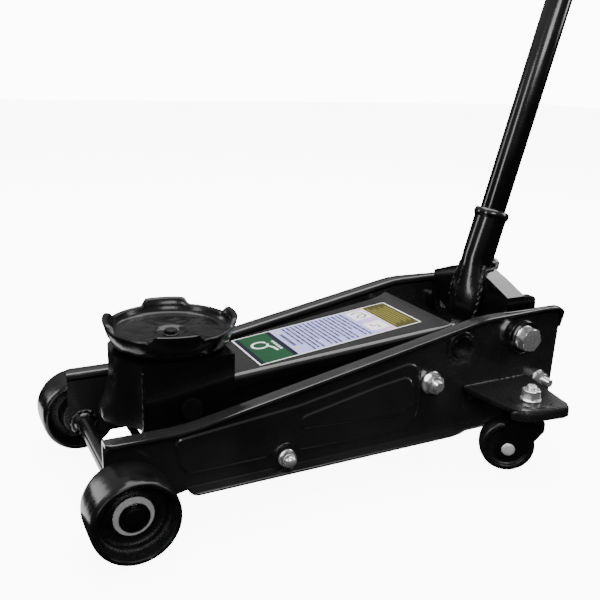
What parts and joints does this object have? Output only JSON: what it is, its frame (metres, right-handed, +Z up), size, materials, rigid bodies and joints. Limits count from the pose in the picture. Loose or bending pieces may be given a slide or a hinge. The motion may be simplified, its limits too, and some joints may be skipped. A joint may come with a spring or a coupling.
{
  "type": "trolley jack",
  "caption": "Hydraulic floor jack with side plate frame, lift arm with a self-levelling turning saddle, front wheels, swivel casters and a long pump handle.",
  "frame": {"origin": "centre of the bounding box in x and y, at the ground in z", "axes": "+X runs from the saddle end to the handle end, +Z is up and +Y completes the right-handed set; the nodes named left are on +Y and those named right on -Y"},
  "size_m": [0.8636, 0.384, 1.2941],
  "materials": {
    "black_paint": "gloss black paint",
    "cast_black": "satin black paint on cast metal",
    "zinc": "bright zinc plate",
    "steel": "machined steel",
    "label": "printed label",
    "grip_rubber": "moulded rubber",
    "caster_tyre": "black nylon",
    "spring_steel": "spring steel"
  },
  "bodies": {
    "frame": {"side_plate_left": "black_paint", "side_plate_right": "black_paint", "front_axle": "cast_black", "front_tie_rod": "black_paint", "lower_tie_bolt": "zinc", "lift_shaft": "cast_black", "dome_nut_left": "zinc", "dome_nut_right": "zinc", "link_bolt_left": "zinc", "link_bolt_right": "zinc", "link_nut_left": "zinc", "link_nut_right": "zinc", "pivot_bolt_left": "zinc", "pivot_bolt_right": "zinc", "block_bolt_left": "zinc", "block_bolt_right": "zinc", "caster_wing_left": "black_paint", "caster_wing_right": "black_paint", "caster_nut_left": "zinc", "caster_nut_right": "zinc", "wheel_washer_left": "zinc", "wheel_washer_right": "zinc", "wheel_circlip_left": "cast_black", "wheel_circlip_right": "cast_black", "pump_block": "cast_black", "ram_cylinder": "cast_black", "filler_plug": "steel", "plunger_spring": "spring_steel"},
    "arm": {"lift_arm_top": "black_paint", "lift_arm_side_left": "black_paint", "lift_arm_side_right": "black_paint", "lift_arm_label": "label", "lever_pin": "steel"},
    "ram_roller": {"ram_roller": "steel"},
    "bracket": {"saddle_bracket": "black_paint", "saddle_pin": "cast_black", "link_pin_left": "cast_black", "link_pin_right": "cast_black"},
    "saddle": {"saddle": "cast_black", "saddle_screw": "cast_black"},
    "link_left": {"levelling_link_left": "black_paint"},
    "link_right": {"levelling_link_right": "black_paint"},
    "piston": {"ram_piston": "steel"},
    "yoke": {"handle_yoke": "black_paint", "lock_screw": "zinc"},
    "pump_roller": {"pump_roller": "steel"},
    "handle": {"handle_lower": "black_paint", "handle_upper": "black_paint", "handle_grip": "grip_rubber", "snap_button": "zinc"},
    "release_valve": {"release_valve": "steel"},
    "plunger": {"plunger": "steel"},
    "caster_left": {"caster_fork_left": "black_paint", "caster_axle_left": "zinc"},
    "caster_right": {"caster_fork_right": "black_paint", "caster_axle_right": "zinc"},
    "caster_wheel_left": {"caster_wheel_left": "caster_tyre"},
    "caster_wheel_right": {"caster_wheel_right": "caster_tyre"},
    "front_wheel_left": {"front_wheel_left": "cast_black"},
    "front_wheel_right": {"front_wheel_right": "cast_black"}
  },
  "joints": [
    {"name": "lift", "type": "hinge", "parent": "frame", "child": "arm", "pos_m": [0.03167, 0, 0.144], "axis": [0, 1, 0], "range_deg": [0, 55]},
    {"name": "bracket_pivot", "type": "hinge", "parent": "arm", "child": "bracket", "pos_m": [-0.29883, 0, 0.107], "axis": [0, 1, 0], "range_deg": [-55, 0]},
    {"name": "saddle_turn", "type": "hinge", "parent": "bracket", "child": "saddle", "pos_m": [-0.30333, 0, 0.164], "axis": [0, 0, 1], "continuous": true},
    {"name": "link_pivot_left", "type": "hinge", "parent": "frame", "child": "link_left", "pos_m": [-0.00883, 0, 0.104], "axis": [0, 1, 0], "range_deg": [0, 55]},
    {"name": "link_pivot_right", "type": "hinge", "parent": "frame", "child": "link_right", "pos_m": [-0.00883, 0, 0.104], "axis": [0, 1, 0], "range_deg": [0, 55]},
    {"name": "ram_roller_spin", "type": "hinge", "parent": "arm", "child": "ram_roller", "pos_m": [0.05567, 0, 0.1024], "axis": [0, 1, 0], "continuous": true},
    {"name": "ram_slide", "type": "slide", "parent": "frame", "child": "piston", "axis": [-1, 0, 0], "range_m": [0, 0.04432]},
    {"name": "pump_pivot", "type": "hinge", "parent": "frame", "child": "yoke", "pos_m": [0.12667, 0, 0.1455], "axis": [0, 1, 0], "range_deg": [0, 45], "stiffness_Nm_per_rad": 10, "springref_deg": -57.3},
    {"name": "pump_roller_spin", "type": "hinge", "parent": "yoke", "child": "pump_roller", "pos_m": [0.15167, 0, 0.1585], "axis": [0, 1, 0], "continuous": true},
    {"name": "handle_twist", "type": "hinge", "parent": "yoke", "child": "handle", "pos_m": [0.11426, 0, 0.19], "axis": [0.2635, 0, 0.9646], "range_deg": [-90, 90]},
    {"name": "release_turn", "type": "hinge", "parent": "frame", "child": "release_valve", "pos_m": [0.09917, 0, 0.1325], "axis": [0, 0, 1], "range_deg": [-90, 90]},
    {"name": "plunger_slide", "type": "slide", "parent": "frame", "child": "plunger", "axis": [0, 0, -1], "range_m": [0, 0.0215], "deforming": ["plunger_spring"]},
    {"name": "caster_swivel_left", "type": "hinge", "parent": "frame", "child": "caster_left", "pos_m": [0.08867, 0.16, 0.0705], "axis": [0, 0, 1], "continuous": true},
    {"name": "caster_roll_left", "type": "hinge", "parent": "caster_left", "child": "caster_wheel_left", "pos_m": [0.07065, 0.14738, 0.033], "axis": [0.5736, -0.8192, 0], "continuous": true},
    {"name": "front_roll_left", "type": "hinge", "parent": "frame", "child": "front_wheel_left", "pos_m": [-0.38683, 0.127, 0.045], "axis": [0, 1, 0], "continuous": true},
    {"name": "caster_swivel_right", "type": "hinge", "parent": "frame", "child": "caster_right", "pos_m": [0.08867, -0.16, 0.0705], "axis": [0, 0, 1], "continuous": true},
    {"name": "caster_roll_right", "type": "hinge", "parent": "caster_right", "child": "caster_wheel_right", "pos_m": [0.07065, -0.14738, 0.033], "axis": [-0.5736, -0.8192, 0], "continuous": true},
    {"name": "front_roll_right", "type": "hinge", "parent": "frame", "child": "front_wheel_right", "pos_m": [-0.38683, -0.127, 0.045], "axis": [0, 1, 0], "continuous": true}
  ],
  "couplings": [
    {"joint": "bracket_pivot", "follows": "lift", "ratio": -1},
    {"joint": "link_pivot_left", "follows": "lift", "ratio": 1},
    {"joint": "link_pivot_right", "follows": "lift", "ratio": 1},
    {"joint": "ram_slide", "follows": "lift", "m_per_rad": 0.04616},
    {"joint": "plunger_slide", "follows": "pump_pivot", "m_per_rad": 0.027356},
    {"joint": "release_turn", "follows": "handle_twist", "ratio": 1}
  ]
}
